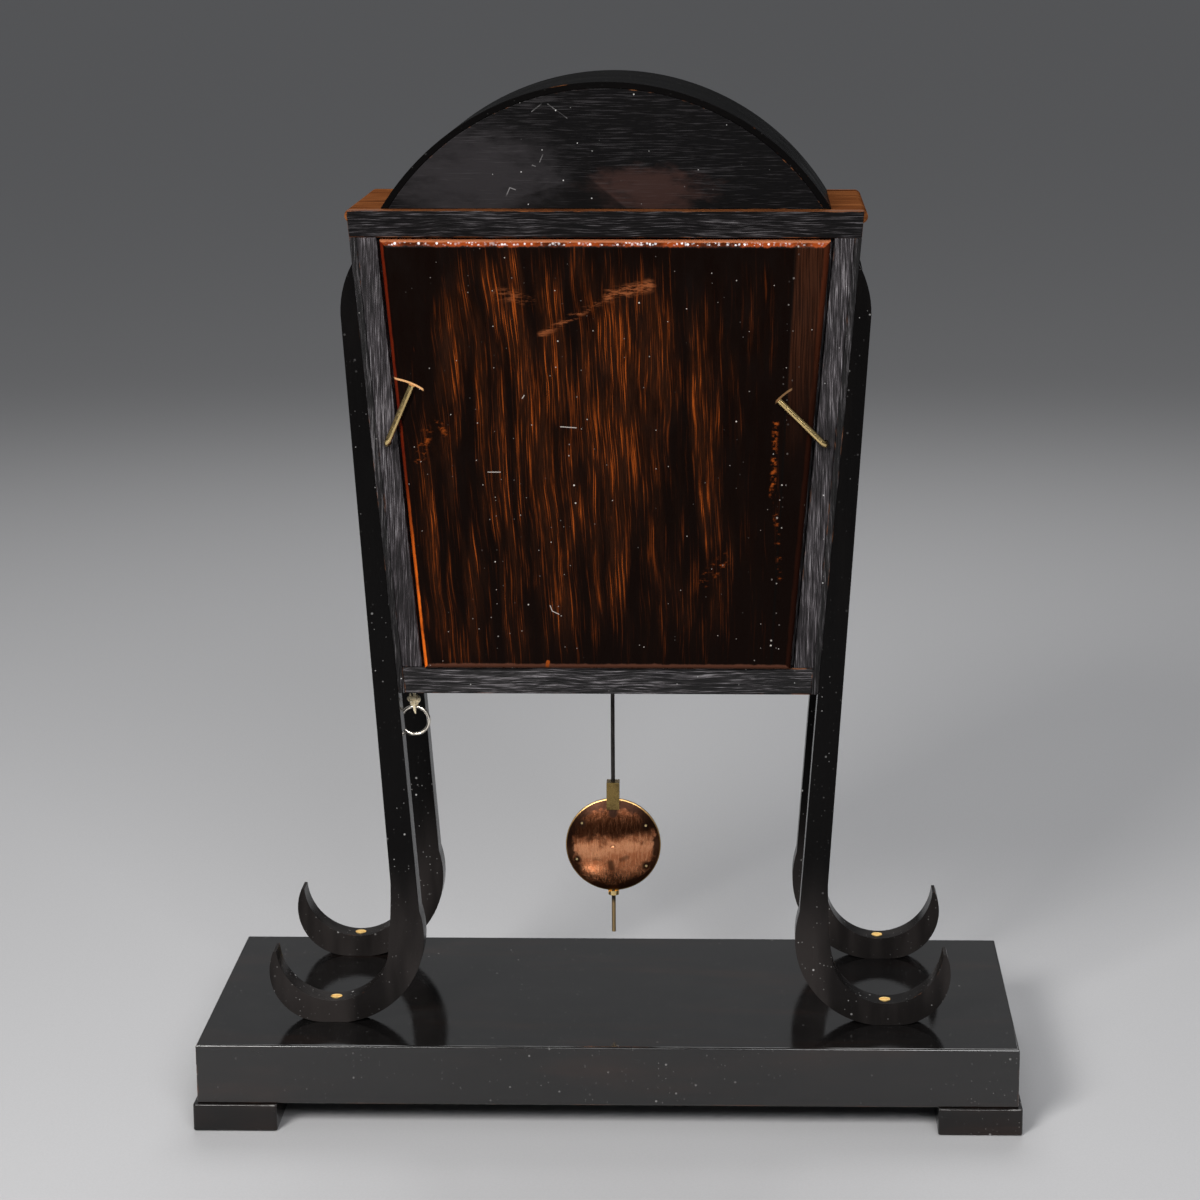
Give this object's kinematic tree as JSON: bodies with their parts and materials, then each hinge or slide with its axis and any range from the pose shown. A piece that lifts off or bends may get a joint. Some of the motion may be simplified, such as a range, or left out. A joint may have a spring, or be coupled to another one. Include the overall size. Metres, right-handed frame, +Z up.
{
  "type": "table clock",
  "caption": "Tapered black table clock on scrolled legs and a plinth, with an arched top, a back door, a swinging pendulum and a pull cord that repeats the strike.",
  "frame": {"origin": "on the table under the middle of the plinth", "axes": "+Z up, the dial faces -Y, the back door faces +Y, +X is at the right of someone who faces the dial"},
  "size_m": [0.404, 0.172, 0.5039],
  "materials": {
    "ebonised_wood": "black stain under worn polish",
    "plain_wood": "unstained",
    "streaked_wood": "red brown polish, dark streaks",
    "brass": "aged polish",
    "copper": "polished copper colour with dark patina",
    "silver_brass": "pale worn wire",
    "steel": "polished",
    "dark_steel": "dark",
    "iron": "painted black",
    "blued_steel": "blued",
    "white_dial": "white enamel",
    "clear_glass": "clear",
    "cord": "twisted cotton"
  },
  "bodies": {
    "case": {"plinth_top": "ebonised_wood", "plinth_front_rail": "ebonised_wood", "plinth_back_rail": "ebonised_wood", "plinth_left_rail": "ebonised_wood", "plinth_right_rail": "ebonised_wood", "block_feet": "ebonised_wood", "front_left_leg": "ebonised_wood", "front_right_leg": "ebonised_wood", "rear_left_leg": "ebonised_wood", "rear_right_leg": "ebonised_wood", "leg_screws": "brass", "case_left_side": "ebonised_wood", "case_right_side": "ebonised_wood", "case_bottom": "ebonised_wood", "case_top": "plain_wood", "front_board": "ebonised_wood", "top_rail": "plain_wood", "bottom_rail": "ebonised_wood", "left_stile": "ebonised_wood", "right_stile": "ebonised_wood", "back_door": "streaked_wood", "arch_back": "ebonised_wood", "arch_front": "ebonised_wood", "arch_roof": "ebonised_wood", "dial": "white_dial", "bezel_hinge": "brass", "front_plate": "brass", "back_plate": "brass", "plate_pillars": "brass", "movement_brackets": "steel", "gong": "steel", "gong_stand": "iron", "suspension_cock": "brass", "repeat_bracket": "steel"},
    "bezel": {"bezel_ring": "brass", "bezel_glass": "clear_glass"},
    "left_catch": {"left_catch": "brass"},
    "right_catch": {"right_catch": "brass"},
    "minute": {"centre_wheel": "brass", "minute_hand": "blued_steel"},
    "hour": {"hour_wheel": "brass", "hour_hand": "blued_steel"},
    "minute_wheel": {"minute_wheel": "brass"},
    "third_wheel": {"third_wheel": "brass"},
    "escape_wheel": {"escape_wheel": "brass"},
    "going_barrel": {"going_barrel": "brass"},
    "going_arbor": {"going_arbor": "steel"},
    "strike_barrel": {"strike_barrel": "brass"},
    "strike_arbor": {"strike_arbor": "steel"},
    "pin_wheel": {"pin_wheel": "brass"},
    "fly": {"fly": "brass"},
    "hammer": {"hammer": "steel"},
    "anchor": {"anchor": "steel"},
    "pendulum": {"pendulum_rod": "dark_steel"},
    "bob": {"pendulum_bob": "copper", "bob_ferrule": "brass"},
    "nut": {"rating_nut": "brass"},
    "pull": {"repeat_cord": "cord"},
    "ring": {"pull_ring": "silver_brass"},
    "repeat_lever": {"repeat_lever": "steel"}
  },
  "joints": [
    {"name": "bezel_hinge", "type": "hinge", "parent": "case", "child": "bezel", "pos_m": [-0.0895, -0.068, 0.328], "axis": [0, 0, -1], "range_deg": [0, 110]},
    {"name": "left_catch_turn", "type": "hinge", "parent": "case", "child": "left_catch", "pos_m": [-0.10401, 0.0505, 0.3345], "axis": [0, 1, 0], "range_deg": [-135, 40]},
    {"name": "right_catch_turn", "type": "hinge", "parent": "case", "child": "right_catch", "pos_m": [0.10401, 0.0505, 0.3345], "axis": [0, 1, 0], "range_deg": [-60, 115]},
    {"name": "minute_turn", "type": "hinge", "parent": "case", "child": "minute", "pos_m": [0, -0.032, 0.328], "axis": [0, 1, 0], "continuous": true},
    {"name": "hour_turn", "type": "hinge", "parent": "case", "child": "hour", "pos_m": [0, -0.032, 0.328], "axis": [0, 1, 0], "continuous": true},
    {"name": "minute_wheel_turn", "type": "hinge", "parent": "case", "child": "minute_wheel", "pos_m": [0, -0.032, 0.3448], "axis": [0, 1, 0], "continuous": true},
    {"name": "third_turn", "type": "hinge", "parent": "case", "child": "third_wheel", "pos_m": [0.01932, -0.032, 0.3454], "axis": [0, 1, 0], "continuous": true},
    {"name": "escape_turn", "type": "hinge", "parent": "case", "child": "escape_wheel", "pos_m": [0, -0.032, 0.35592], "axis": [0, 1, 0], "continuous": true},
    {"name": "going_barrel_turn", "type": "hinge", "parent": "case", "child": "going_barrel", "pos_m": [0.0278, -0.032, 0.31136], "axis": [0, 1, 0], "continuous": true},
    {"name": "going_winding", "type": "hinge", "parent": "case", "child": "going_arbor", "pos_m": [0.0278, -0.032, 0.31136], "axis": [0, 1, 0], "continuous": true},
    {"name": "strike_barrel_turn", "type": "hinge", "parent": "case", "child": "strike_barrel", "pos_m": [-0.0278, -0.032, 0.31136], "axis": [0, 1, 0], "continuous": true},
    {"name": "strike_winding", "type": "hinge", "parent": "case", "child": "strike_arbor", "pos_m": [-0.0278, -0.032, 0.31136], "axis": [0, 1, 0], "continuous": true},
    {"name": "pin_wheel_turn", "type": "hinge", "parent": "case", "child": "pin_wheel", "pos_m": [-0.03801, -0.032, 0.34169], "axis": [0, 1, 0], "continuous": true},
    {"name": "fly_turn", "type": "hinge", "parent": "case", "child": "fly", "pos_m": [-0.02701, -0.032, 0.36074], "axis": [0, 1, 0], "continuous": true},
    {"name": "hammer_swing", "type": "hinge", "parent": "case", "child": "hammer", "pos_m": [-0.06201, 0.013, 0.352], "axis": [0, 1, 0], "range_deg": [-2.5, 12]},
    {"name": "pendulum_swing", "type": "hinge", "parent": "case", "child": "pendulum", "pos_m": [0, -0.002, 0.3743], "axis": [0, 1, 0], "range_deg": [-4, 4]},
    {"name": "anchor_rock", "type": "hinge", "parent": "case", "child": "anchor", "pos_m": [0, -0.032, 0.3743], "axis": [0, 1, 0], "range_deg": [-4.5, 4.5]},
    {"name": "bob_slide", "type": "slide", "parent": "pendulum", "child": "bob", "axis": [0, 0, 1], "range_m": [-0.002, 0.002]},
    {"name": "nut_turn", "type": "hinge", "parent": "bob", "child": "nut", "pos_m": [0, -0.002, 0.0963], "axis": [0, 0, 1], "range_deg": [-1450, 1450]},
    {"name": "cord_pull", "type": "slide", "parent": "case", "child": "pull", "axis": [0, 0, -1], "range_m": [0, 0.012], "stiffness_N_per_m": 60, "springref_m": -0.006},
    {"name": "ring_swing", "type": "hinge", "parent": "pull", "child": "ring", "pos_m": [0.0955, 0.034, 0.2008], "axis": [0, 1, 0], "range_deg": [-25, 25]},
    {"name": "repeat_lever_turn", "type": "hinge", "parent": "case", "child": "repeat_lever", "pos_m": [0.0955, -0.00049, 0.245], "axis": [-1, 0, 0], "range_deg": [0, 20]}
  ],
  "couplings": [
    {"joint": "minute_wheel_turn", "follows": "minute_turn", "ratio": -0.33333},
    {"joint": "hour_turn", "follows": "minute_turn", "ratio": 0.083333},
    {"joint": "third_turn", "follows": "minute_turn", "ratio": -12},
    {"joint": "escape_turn", "follows": "minute_turn", "ratio": 120},
    {"joint": "going_barrel_turn", "follows": "minute_turn", "ratio": -0.125},
    {"joint": "pin_wheel_turn", "follows": "strike_barrel_turn", "ratio": -9},
    {"joint": "fly_turn", "follows": "strike_barrel_turn", "ratio": 90},
    {"joint": "anchor_rock", "follows": "pendulum_swing", "ratio": 1},
    {"joint": "nut_turn", "follows": "bob_slide", "rad_per_m": 12566},
    {"joint": "repeat_lever_turn", "follows": "cord_pull", "rad_per_m": 28.571}
  ]
}
